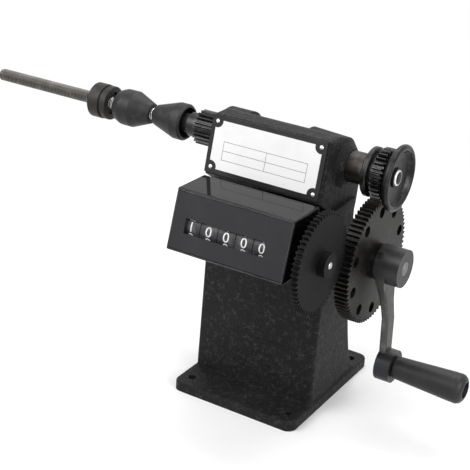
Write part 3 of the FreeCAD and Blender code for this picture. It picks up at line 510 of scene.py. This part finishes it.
@dataclass(frozen=True)
class HubbedSteel(Finish):
    """Bare arm between two dark ends.

    Attributes:
        hub: colour of the dark ends.
        hub_reach: distance from the axis to which the upper dark end goes, in metres.
        boss_start: distance from the axis at which the lower dark end starts.
        fade: sharpness of the limits, for each metre.
        ragged: how far the cloud breaks the limits.
        cover: how far the dark ends cover the steel.
    """

    hub: Colour = (0.022, 0.0235, 0.026)
    hub_reach: float = 0.0155
    boss_start: float = 0.069
    fade: float = 400.0
    ragged: float = 0.4
    cover: float = 0.85

    def _colour(self, board: Board, marks: Wire, clouds: Wire, axis: Axis) -> Wire:
        """Colour of the steel, dark at both ends.

        Args:
            board: the material's nodes.
            marks: height of the marks.
            clouds: slow cloud.
            axis: Y and Z of the crank's axis.

        Returns:
            The colour.
        """
        steel = super()._colour(board, marks, clouds, axis)
        distance = board.parts(board.around(axis))[1]
        upper = ((self.hub_reach - distance) * self.fade + self.ragged * clouds).ramp()
        lower = ((distance - self.boss_start) * self.fade + self.ragged * clouds).ramp()
        return board.mix(self.cover * (upper + lower).ramp(), steel, self.hub)


CAST_PAINT = CastSkin("cast_paint", (0.008, 0.008, 0.0082), (0.016, 0.016, 0.016), 0.42, 0.24,
                      specular=0.16, grain=Grain.CAST, depth=0.0022, patch=0.35, rub=0.5,
                      rubbed=(0.1, 0.1, 0.098), rub_width=0.0006, grains=0.45)
BLACK_STEEL = Finish("black_steel", (0.018, 0.018, 0.018), (0.045, 0.043, 0.041), 0.24, 0.22,
                     metallic=0.85, grain=Grain.TURNED, depth=0.00004, rub=0.6,
                     rubbed=(0.25, 0.25, 0.25), rub_width=0.0004)
CONE_STEEL = Finish("cone_steel", (0.018, 0.018, 0.0184), (0.034, 0.034, 0.0346), 0.42, 0.16,
                    metallic=0.6, grain=Grain.TURNED, depth=0.00006, rub=0.3)
NUT_STEEL = Finish("nut_steel", (0.023, 0.021, 0.0195), (0.04, 0.037, 0.034), 0.42, 0.18,
                   metallic=0.6, grain=Grain.TURNED, depth=0.00006, rub=0.4)
GEAR_STEEL = Finish("gear_steel", (0.014, 0.013, 0.0122), (0.034, 0.031, 0.028), 0.34, 0.24,
                    metallic=0.8, specular=0.2, grain=Grain.TURNED, depth=0.00006, rub=0.5,
                    rubbed=(0.16, 0.155, 0.15), rub_width=0.0004)
ARM_STEEL = HubbedSteel("arm_steel", (0.07, 0.068, 0.066), (0.14, 0.136, 0.132), 0.34, 0.2,
                        metallic=0.8, grain=Grain.CAST, depth=0.00015, rub=0.3,
                        rubbed=(0.3, 0.29, 0.28))
BRIGHT_STEEL = Finish("bright_steel", (0.5, 0.5, 0.49), (0.62, 0.62, 0.6), 0.2, 0.2,
                      metallic=1.0, grain=Grain.TURNED, depth=0.00003)
SHAFT_STEEL = Finish("shaft_steel", (0.12, 0.12, 0.12), (0.34, 0.34, 0.33), 0.3, 0.2,
                     metallic=0.9, grain=Grain.TURNED, depth=0.00005, rub=0.4)
COLLAR_STEEL = Finish("collar_steel", (0.03, 0.03, 0.03), (0.07, 0.067, 0.064), 0.26, 0.22,
                      metallic=0.85, grain=Grain.TURNED, depth=0.00004, rub=0.5,
                      rubbed=(0.2, 0.2, 0.2), rub_width=0.0004)
RIVET_STEEL = Finish("rivet_steel", (0.85, 0.85, 0.84), (0.8, 0.8, 0.79), 0.3, 0.15,
                     metallic=0.7, grain=Grain.ROLLED)
ROD_STEEL = ThreadSteel("rod_steel", (0.2, 0.19, 0.176), (0.34, 0.322, 0.298), 0.28, 0.2,
                        metallic=0.95, grain=Grain.MOULDED, depth=0.00001)
BRONZE = Finish("bush_bronze", (0.03, 0.026, 0.0238), (0.066, 0.059, 0.054), 0.3, 0.25,
                metallic=0.85, grain=Grain.TURNED, depth=0.00004)
# The case's light edges are a painted highlight along its rounded edges.
CASE_GLOSS = Finish("case_gloss", (0.004, 0.004, 0.0045), (0.006, 0.006, 0.0065), 0.04, 0.03,
                    specular=0.16, grain=Grain.ROLLED, depth=0.000004, rub=0.7,
                    rubbed=(0.2, 0.2, 0.205), rub_width=0.0015)
FRONT_GLOSS = Finish("front_gloss", (0.022, 0.022, 0.0245), (0.027, 0.027, 0.03), 0.3, 0.1,
                     specular=0.25, grain=Grain.ROLLED, depth=0.00001)
WHEEL_PLASTIC = Finish("wheel_plastic", (0.035, 0.035, 0.038), (0.13, 0.13, 0.135), 0.4,
                       specular=0.3, patch=0.6)
DIGIT_WHITE = Finish("digit_white", (0.88, 0.88, 0.87), (0.8, 0.8, 0.79), 0.45)
GEAR_PLASTIC = Finish("gear_plastic", (0.0045, 0.0045, 0.0047), (0.009, 0.009, 0.0092), 0.5,
                      0.12, specular=0.09, rub=0.4, rubbed=(0.035, 0.035, 0.035))
GRIP_PLASTIC = Finish("grip_plastic", (0.008, 0.008, 0.0085), (0.014, 0.014, 0.0145), 0.4, 0.12,
                      specular=0.35)
PLATE_BLACK = Finish("plate_black", (0.014, 0.014, 0.0145), (0.024, 0.024, 0.025), 0.3,
                     specular=0.3, grain=Grain.ROLLED)
PLATE_WHITE = Finish("plate_white", (0.86, 0.86, 0.86), (0.82, 0.82, 0.825), 0.35,
                     specular=0.3, grain=Grain.ROLLED)


def dress(node: str, finish: Finish, axis: Axis = (0.0, 0.0)) -> None:
    """Give a carried-over node its material.

    Args:
        node: name of the node.
        finish: its finish.
        axis: Y and Z of the axis of a turned piece.
    """
    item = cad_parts[node]
    item.data.materials.clear()
    item.data.materials.append(finish.material(axis))
    log.info("dressed %s with %s", node, finish.name)


def centre_of(node: str) -> Vector:
    """Middle of a node's box at rest."""
    low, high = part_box(node)
    return (low + high) / 2


def axis_of(node: str) -> Axis:
    """Y and Z of the middle of a node's box at rest."""
    centre = centre_of(node)
    return centre.y, centre.z


def add_piece(name: str, mesh: bmesh.types.BMesh, body: str, finish: Finish,
              axis: Axis = (0.0, 0.0), smooth: bool = True) -> bpy.types.Object:
    """Turn a mesh into a piece that rides on a body.

    Args:
        name: name of the piece.
        mesh: its mesh, in metres, in the shared frame.
        body: the body that it moves with.
        finish: its finish.
        axis: Y and Z of the axis of a turned piece.
        smooth: whether faces are shaded smooth.

    Returns:
        The piece.
    """
    data = bpy.data.meshes.new(name)
    mesh.to_mesh(data)
    mesh.free()
    for face in data.polygons:
        face.use_smooth = smooth
    data.materials.append(finish.material(axis))
    item = bpy.data.objects.new(name, data)
    bpy.context.scene.collection.objects.link(item)
    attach(item, body)
    log.info("built %s on %s", name, body)
    return item


def sheet_mesh(outline: Sequence[tuple[float, float]], place: Callable[[float, float], Vector]
               ) -> bmesh.types.BMesh:
    """A flat face from an outline.

    Args:
        outline: corners in the sheet's own plane.
        place: puts a corner into the shared frame.

    Returns:
        The mesh.
    """
    mesh = bmesh.new()
    mesh.faces.new([mesh.verts.new(place(u, v)) for u, v in outline])
    return mesh


@dataclass(frozen=True)
class Softbox:
    """A square soft lamp.

    Attributes:
        name: name of the lamp.
        place: where it hangs.
        size: side of its square, in metres.
        power: its power in watts.
    """

    name: str
    place: Point
    size: float
    power: float


@dataclass
class Studio:
    """Pale floor, soft lamps and the photograph's camera.

    Attributes:
        photo_side: side of the photograph, in pixels.
        focal: focal length of its camera, in pixels.
        sensor: width of the camera's sensor, in millimetres.
        place: where the camera stands.
        azimuth: degrees from the front to the right.
        elevation: degrees above the horizon.
        roll: degrees about the line of sight.
        floor_reach: distance from the middle of the floor to its sides.
        paper_shade: darkest and lightest colour of the floor.
        paper_cloud: pattern between the two.
        bounce: grey of the floor for the light that falls on the machine.
        shadow_start: distance at which the floor starts to turn white.
        shadow_end: distance at which it is white.
        room_light: strength of the even light.
        aim: point at which the lamps are aimed.
        lamps: the lamps.
    """

    photo_side: int = 470
    focal: float = 1235.4
    sensor: float = 36.0
    place: Point = (0.4077, -0.7802, 0.5191)
    azimuth: float = 30.07
    elevation: float = 24.18
    roll: float = 3.70
    floor_reach: float = 12.0
    paper_shade: tuple[Colour, Colour] = ((0.88, 0.88, 0.88), (0.92, 0.92, 0.92))
    paper_cloud: Cloud = Cloud(3.0)
    bounce: float = 0.45
    shadow_start: float = 0.3
    shadow_end: float = 0.66
    room_light: float = 0.42
    aim: Point = (0.0, 0.0, 0.12)
    lamps: tuple[Softbox, ...] = (Softbox("key_softbox", (-0.55, -0.75, 0.95), 0.8, 11.0),
                                  Softbox("side_softbox", (0.95, -0.35, 0.55), 0.7, 7.0),
                                  Softbox("top_softbox", (0.0, 0.35, 1.1), 0.9, 8.0))

    def build(self) -> None:
        """Add the camera, the floor, the lamps and the world."""
        self._camera()
        self._floor()
        for lamp in self.lamps:
            self._lamp(lamp)
        self._world()
        bpy.context.scene.view_settings.view_transform = "Standard"

    def _camera(self) -> None:
        """Stand the camera where the photograph was taken."""
        data = bpy.data.cameras.new("camera")
        data.sensor_width = self.sensor
        data.lens = self.focal / self.photo_side * data.sensor_width
        camera = bpy.data.objects.new("camera", data)
        bpy.context.scene.collection.objects.link(camera)
        azimuth, elevation, roll = map(math.radians, (self.azimuth, self.elevation, self.roll))
        forward = Vector((-math.sin(azimuth) * math.cos(elevation),
                          math.cos(azimuth) * math.cos(elevation), -math.sin(elevation)))
        level = Vector((math.cos(azimuth), math.sin(azimuth), 0.0))
        upright = level.cross(forward)
        right = level * math.cos(roll) + upright * math.sin(roll)
        top = upright * math.cos(roll) - level * math.sin(roll)
        turned = Matrix((right, top, -forward)).transposed()
        camera.matrix_world = Matrix.Translation(Vector(self.place)) @ turned.to_4x4()
        bpy.context.scene.camera = camera

    def _floor(self) -> None:
        """Lay the pale floor."""
        reach = self.floor_reach
        board = Board(bpy.data.materials.new("floor_paper"))
        colour = board.mix(board.noise(self.paper_cloud), *self.paper_shade)
        paper = board.node("ShaderNodeBsdfDiffuse", None, {"Color": colour})
        dim = board.node("ShaderNodeBsdfDiffuse", None, {"Color": (self.bounce,) * 3 + (1.0,)})
        white = board.node("ShaderNodeEmission", None, {"Strength": 1.0})
        far = board.node("ShaderNodeVectorMath", {"operation": "LENGTH"}, {0: board.place()}, 1)
        near = board.blend(board.seen(), dim, paper)
        shader = board.blend(board.seen() * far.ramp(self.shadow_start, self.shadow_end),
                             near, white)
        board.node("ShaderNodeOutputMaterial", None, {"Surface": shader})
        mesh = sheet_mesh([(-reach, -reach), (reach, -reach), (reach, reach), (-reach, reach)],
                          lambda u, v: Vector((u, v, 0.0)))
        data = bpy.data.meshes.new("floor")
        mesh.to_mesh(data)
        mesh.free()
        data.materials.append(board.owner)
        floor = bpy.data.objects.new("floor", data)
        bpy.context.scene.collection.objects.link(floor)

    def _lamp(self, lamp: Softbox) -> None:
        """Hang a softbox that points at the machine.

        Args:
            lamp: the softbox.
        """
        data = bpy.data.lights.new(lamp.name, "AREA")
        data.size = lamp.size
        data.energy = lamp.power
        item = bpy.data.objects.new(lamp.name, data)
        item.location = lamp.place
        aim = Vector(self.aim) - Vector(lamp.place)
        item.rotation_mode = "QUATERNION"
        item.rotation_quaternion = aim.to_track_quat("-Z", "Y")
        bpy.context.scene.collection.objects.link(item)

    def _world(self) -> None:
        """Fill the room with even light before a white backdrop."""
        board = Board(bpy.data.worlds.new("room"))
        light, white = (board.node("ShaderNodeBackground", None,
                                   {"Color": (1.0,) * 4, "Strength": strength})
                        for strength in (self.room_light, 1.0))
        board.node("ShaderNodeOutputWorld", None,
                   {"Surface": board.blend(board.seen(), light, white)})
        bpy.context.scene.world = board.owner


@dataclass
class Stand:
    """The casting with its bushes and the counter's bracket.

    Attributes:
        bushes: nodes of the plain bearings.
    """

    bushes: tuple[str, ...] = ("left_spindle_bush", "right_spindle_bush", "crank_bush_inner",
                               "crank_bush_outer")

    def build(self) -> None:
        """Dress the nodes of the stand."""
        dress("machine_casting", CAST_PAINT)
        dress("counter_bracket", CAST_PAINT)
        dress("bracket_screws", BLACK_STEEL)
        for node in self.bushes:
            dress(node, BRONZE, axis_of(node))


@dataclass
class Nameplate:
    """The plate on the head: a black border, a bare white field and a ruled table.

    Attributes:
        lean: angle of the face from upright.
        thickness: thickness of the plate.
        border: width of the black border.
        notch: radius of the field's notch at a rivet.
        rivet_inset: distance of a rivet from the two nearest edges.
        print_height: height of one layer of print.
        rule_width: width of a rule.
        notch_steps: number of straight pieces in a notch.
        table_left: left side of the table, as a share of the plate's width.
        table_right: right side.
        table_low: lower side, as a share of the plate's height.
        table_high: upper side.
        table_middle: the rule between the columns.
        low: lowest corner of the plate's box.
        high: highest corner.
    """

    lean: float = math.atan2(10.0, 44.5)
    thickness: float = 1.0 * MM
    border: float = 3.5 * MM
    notch: float = 4.9 * MM
    rivet_inset: float = 4.6 * MM
    print_height: float = 0.03 * MM
    rule_width: float = 0.28 * MM
    notch_steps: int = 10
    table_left: float = 0.134
    table_right: float = 0.867
    table_low: float = 0.26
    table_high: float = 0.576
    table_middle: float = 0.513
    low: Vector = field(init=False)
    high: Vector = field(init=False)

    def __post_init__(self) -> None:
        """Read the plate's corners from the frame."""
        self.low, self.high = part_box("nameplate")

    def on_face(self, across: float, upward: float, proud: float) -> Vector:
        """A point on the plate's face.

        Args:
            across: distance from the left edge.
            upward: distance from the lower edge, along the face.
            proud: height above the face.

        Returns:
            The point in the shared frame.
        """
        foot = Vector((self.low.x, self.low.y, self.low.z + self._thickness_drop()))
        up = Vector((0.0, math.sin(self.lean), math.cos(self.lean)))
        out = Vector((0.0, -math.cos(self.lean), math.sin(self.lean)))
        return foot + Vector((across, 0.0, 0.0)) + up * upward + out * proud

    def _thickness_drop(self) -> float:
        """Height of the face's lower edge over the plate's lowest corner."""
        return self.thickness * math.sin(self.lean)

    def size(self) -> tuple[float, float]:
        """Width and height of the plate along its face."""
        rise = (self.high.z - self.low.z - self._thickness_drop()) / math.cos(self.lean)
        return self.high.x - self.low.x, rise

    def build(self) -> None:
        """Dress the plate and add its print."""
        dress("nameplate", PLATE_BLACK)
        dress("nameplate_rivets", RIVET_STEEL)
        width, height = self.size()
        add_piece("plate_field", sheet_mesh(
            self._field_outline(width, height),
            lambda u, v: self.on_face(u, v, self.print_height)), "frame", PLATE_WHITE, smooth=False)
        mesh = bmesh.new()
        for left, low, right, high in self._rules(width, height):
            corners = [(left, low), (right, low), (right, high), (left, high)]
            mesh.faces.new([mesh.verts.new(self.on_face(u, v, 2 * self.print_height))
                            for u, v in corners])
        add_piece("plate_rules", mesh, "frame", PLATE_BLACK, smooth=False)

    def _field_outline(self, width: float, height: float) -> list[tuple[float, float]]:
        """White field with a round notch at each rivet.

        Args:
            width: width of the plate.
            height: height of the plate.

        Returns:
            The outline, counter-clockwise.
        """
        # Middle of each notch and its quarter turn in degrees, to which outside adds both ends.
        corners = [(self.rivet_inset, self.rivet_inset, 90.0, 0.0),
                   (width - self.rivet_inset, self.rivet_inset, 180.0, 90.0),
                   (width - self.rivet_inset, height - self.rivet_inset, 270.0, 180.0),
                   (self.rivet_inset, height - self.rivet_inset, 360.0, 270.0)]
        outside = math.degrees(math.asin((self.rivet_inset - self.border) / self.notch))
        points = []
        for x, y, start, stop in corners:
            for step in range(self.notch_steps + 1):
                share = step / self.notch_steps
                angle = math.radians((start + outside) * (1 - share) + (stop - outside) * share)
                points.append((x + self.notch * math.cos(angle),
                               y + self.notch * math.sin(angle)))
        return points

    def _rules(self, width: float, height: float) -> Iterable[tuple[float, float, float, float]]:
        """Lines of the ruled table.

        Args:
            width: width of the plate.
            height: height of the plate.

        Returns:
            Left, low, right and high of each line.
        """
        left, right = self.table_left * width, self.table_right * width
        low, high = self.table_low * height, self.table_high * height
        middle, level = self.table_middle * width, (low + high) / 2
        half = self.rule_width / 2
        for y in (low, level, high):
            yield left - half, y - half, right + half, y + half
        for x in (left, middle, right):
            yield x - half, low, x + half, high


@dataclass
class TurnsCounter:
    """Counter with its case, front, digit wheels and gear.

    Attributes:
        wheels: nodes of the digit wheels, from the left.
        shown: the digit that each wheel shows at rest.
        digits_round: number of digits round a wheel.
        lean: angle of the counter's front from upright.
        digit_height: height of a digit.
        digit_width: width of a digit.
        narrowest: least width of a glyph that is stretched to that width.
        slice_height: height of the slices that bend round the wheel.
        proud: height of the print over the wheel.
    """

    wheels: tuple[str, ...] = ("digit_wheel_1", "digit_wheel_2", "digit_wheel_3", "digit_wheel_4",
                               "units_wheel")
    shown: tuple[int, ...] = (1, 0, 0, 0, 0)
    digits_round: int = 10
    lean: float = math.atan2(12.8, 44.0)
    digit_height: float = 7.3 * MM
    digit_width: float = 5.4 * MM
    narrowest: float = 0.5
    slice_height: float = 0.6 * MM
    proud: float = 0.04 * MM

    def build(self) -> None:
        """Dress the counter and put the digits on its wheels."""
        dress("counter_case", CASE_GLOSS)
        dress("counter_front", FRONT_GLOSS)
        for number, (wheel, digit) in enumerate(zip(self.wheels, self.shown), start=1):
            dress(wheel, WHEEL_PLASTIC)
            body = "counter_drive" if wheel == "units_wheel" else wheel
            self._digits("digits_%d" % number, wheel, digit, body)
        for number in range(1, len(self.wheels)):
            dress("carry_pinion_%d" % number, WHEEL_PLASTIC)
        for node in ("counter_shaft", "carry_shaft"):
            dress(node, BRIGHT_STEEL, axis_of(node))
        dress("counter_gear", GEAR_PLASTIC)
        dress("counter_grub_screw", BLACK_STEEL)

    def _digits(self, name: str, wheel: str, shown: int, body: str) -> None:
        """Ten digits round a wheel.

        Args:
            name: name of the piece.
            wheel: the wheel's node.
            shown: the digit that faces the window.
            body: the body that it moves with.
        """
        low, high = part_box(wheel)
        centre = centre_of(wheel)
        radius = (high.z - low.z) / 2 + self.proud
        mesh = bmesh.new()
        for digit in range(self.digits_round):
            flat = self._flat_digit(str(digit))
            start = len(mesh.verts)
            mesh.from_mesh(flat)
            bpy.data.meshes.remove(flat)
            mesh.verts.ensure_lookup_table()
            turn = self.lean + 2.0 * math.pi / self.digits_round * (digit - shown)
            for vert in mesh.verts[start:]:
                angle = turn + vert.co.y / radius
                vert.co = Vector((centre.x + vert.co.x, centre.y - radius * math.cos(angle),
                                  centre.z + radius * math.sin(angle)))
        add_piece(name, mesh, body, DIGIT_WHITE, smooth=False)

    def _flat_digit(self, text: str) -> bpy.types.Mesh:
        """A digit as a flat mesh in thin slices, about its own middle.

        Args:
            text: the digit.

        Returns:
            The mesh.
        """
        curve = bpy.data.curves.new("digit", "FONT")
        curve.body = text
        curve.align_x = "CENTER"
        item = bpy.data.objects.new("digit", curve)
        mesh = bmesh.new()
        data = bpy.data.meshes.new_from_object(item)
        mesh.from_mesh(data)
        low = min(v.co.y for v in mesh.verts)
        high = max(v.co.y for v in mesh.verts)
        left = min(v.co.x for v in mesh.verts)
        right = max(v.co.x for v in mesh.verts)
        scale_y = self.digit_height / (high - low)
        scale_x = self.digit_width / max(right - left, self.narrowest)
        for vert in mesh.verts:
            vert.co.x = (vert.co.x - (left + right) / 2) * scale_x
            vert.co.y = (vert.co.y - (low + high) / 2) * scale_y
        steps = int(self.digit_height / self.slice_height)
        for step in range(1, steps):
            level = -self.digit_height / 2 + step * self.digit_height / steps
            bmesh.ops.bisect_plane(mesh, geom=[*mesh.verts, *mesh.edges, *mesh.faces],
                                   plane_co=(0.0, level, 0.0), plane_no=(0.0, 1.0, 0.0))
        mesh.to_mesh(data)
        mesh.free()
        bpy.data.objects.remove(item)
        bpy.data.curves.remove(curve)
        return data


@dataclass
class SpindleLine:
    """Spindle with its threaded rod, pinions, cones, nut and handwheel.

    Attributes:
        pitch: distance between two crests of the thread.
        tip_drop: how far the rod's tip is cut below the thread's root.
        end_chamfer: chamfer of the plain end.
        shaft_radius: radius of the plain spindle.
        shoulder: place along X where the plain spindle starts.
        run_out: length of the groove between the thread and the shoulder.
        segments: number of points in one turn.
        profile: place and depth of the thread's corners, in pitches from the crest's left end.
    """

    pitch: float = 1.5 * MM
    tip_drop: float = 0.4 * MM
    end_chamfer: float = 0.6 * MM
    shaft_radius: float = 6.0 * MM
    shoulder: float = -89.5 * MM
    run_out: float = 1.5 * MM
    segments: int = 32
    profile: tuple[tuple[float, float], ...] = ((0.0, 0.0), (0.12, 0.0), (0.45, 1.0), (0.6, 1.0))

    def build(self) -> None:
        """Build the threaded spindle and dress the pieces on it."""
        low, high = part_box("spindle_shaft")
        axis = axis_of("spindle_shaft")
        rod = add_piece("threaded_spindle", self._spindle_mesh(low.x, high.x, axis), "spindle",
                        ROD_STEEL, axis)
        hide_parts("spindle_shaft")
        for node, finish in (("motor_pinion", COLLAR_STEEL), ("right_cone", CONE_STEEL),
                             ("left_cone", CONE_STEEL), ("lock_nut", NUT_STEEL),
                             ("drive_pinion", BLACK_STEEL), ("handwheel", BLACK_STEEL),
                             ("spindle_lock_ring", GRIP_PLASTIC),
                             ("spindle_grub_screws", BLACK_STEEL)):
            dress(node, finish, axis)

    def _spindle_mesh(self, left: float, right: float, axis: Axis) -> bmesh.types.BMesh:
        """Rod with a helical thread that ends in the plain spindle.

        Args:
            left: the rod's left end.
            right: the spindle's right end.
            axis: Y and Z of the axis.

        Returns:
            The mesh.
        """
        mesh = bmesh.new()
        stop = self.shoulder - self.run_out
        turns = int((stop - left) / self.pitch) + 2
        rows = []
        # The first and last turns lie partly off the rod, and _thread_row holds them to its ends.
        for turn in range(-1, turns):
            for share, depth in self.profile:
                rows.append(self._thread_row(mesh, axis, left, stop, turn + share, depth))
        plain = [(stop, THREAD_ROOT), (self.shoulder, THREAD_ROOT),
                 (self.shoulder, self.shaft_radius),
                 (right - self.end_chamfer, self.shaft_radius),
                 (right, self.shaft_radius - self.end_chamfer)]
        rows += [[self._spot(mesh, axis, x, radius, index) for index in range(self.segments)]
                 for x, radius in plain]
        for first, second in zip(rows, rows[1:]):
            for index in range(self.segments):
                after = (index + 1) % self.segments
                mesh.faces.new((first[index], first[after], second[after], second[index]))
        mesh.faces.new(rows[0])
        mesh.faces.new(list(reversed(rows[-1])))
        bmesh.ops.recalc_face_normals(mesh, faces=mesh.faces)
        return mesh

    def _thread_row(self, mesh: bmesh.types.BMesh, axis: Axis, left: float, stop: float,
                    place: float, depth: float) -> list[bmesh.types.BMVert]:
        """One line of the thread's profile over a full turn.

        Args:
            mesh: the mesh that takes the points.
            axis: Y and Z of the axis.
            left: the rod's left end.
            stop: where the thread ends.
            place: number of pitches from the left end.
            depth: 0 at the crest and 1 at the root.

        Returns:
            The row's points.
        """
        row = []
        tip = THREAD_ROOT - self.tip_drop
        for index in range(self.segments):
            x = left + (place + index / self.segments) * self.pitch
            near_end = min(max(x, left), stop)
            radius = THREAD_CREST + (THREAD_ROOT - THREAD_CREST) * depth
            radius = min(radius, max(tip + near_end - left, tip))
            if x > stop:
                radius = THREAD_ROOT
            row.append(self._spot(mesh, axis, near_end, radius, index))
        return row

    def _spot(self, mesh: bmesh.types.BMesh, axis: Axis, x: float, radius: float, index: int
              ) -> bmesh.types.BMVert:
        """A point at a distance from the axis.

        Args:
            mesh: the mesh that takes the point.
            axis: Y and Z of the axis.
            x: place along the axis.
            radius: distance from it.
            index: number of the point round the axis.

        Returns:
            The point.
        """
        angle = 2.0 * math.pi * index / self.segments
        return mesh.verts.new((x, axis[0] + radius * math.cos(angle),
                               axis[1] + radius * math.sin(angle)))


@dataclass
class CrankLine:
    """Crank with its shaft, gear, arm and handle."""

    def build(self) -> None:
        """Dress the crank's nodes."""
        axis = axis_of("crank_shaft")
        for node, finish in (("crank_shaft", SHAFT_STEEL), ("crank_collar", BLACK_STEEL),
                             ("crank_gear", GEAR_STEEL), ("crank_arm", ARM_STEEL),
                             ("crank_arm_screw", BLACK_STEEL), ("crank_grub_screws", BLACK_STEEL)):
            dress(node, finish, axis)
        dress("grip", GRIP_PLASTIC)
        dress("grip_axle", BRIGHT_STEEL, axis_of("grip"))


def main() -> None:
    """Build every sub-assembly and the studio."""
    logging.basicConfig(level=logging.INFO, format="%(name)s: %(message)s")
    for part in (Stand(), Nameplate(), TurnsCounter(), SpindleLine(), CrankLine()):
        part.build()
        log.info("finished %s", type(part).__name__)
    Studio().build()


if __name__ == "__main__":
    main()
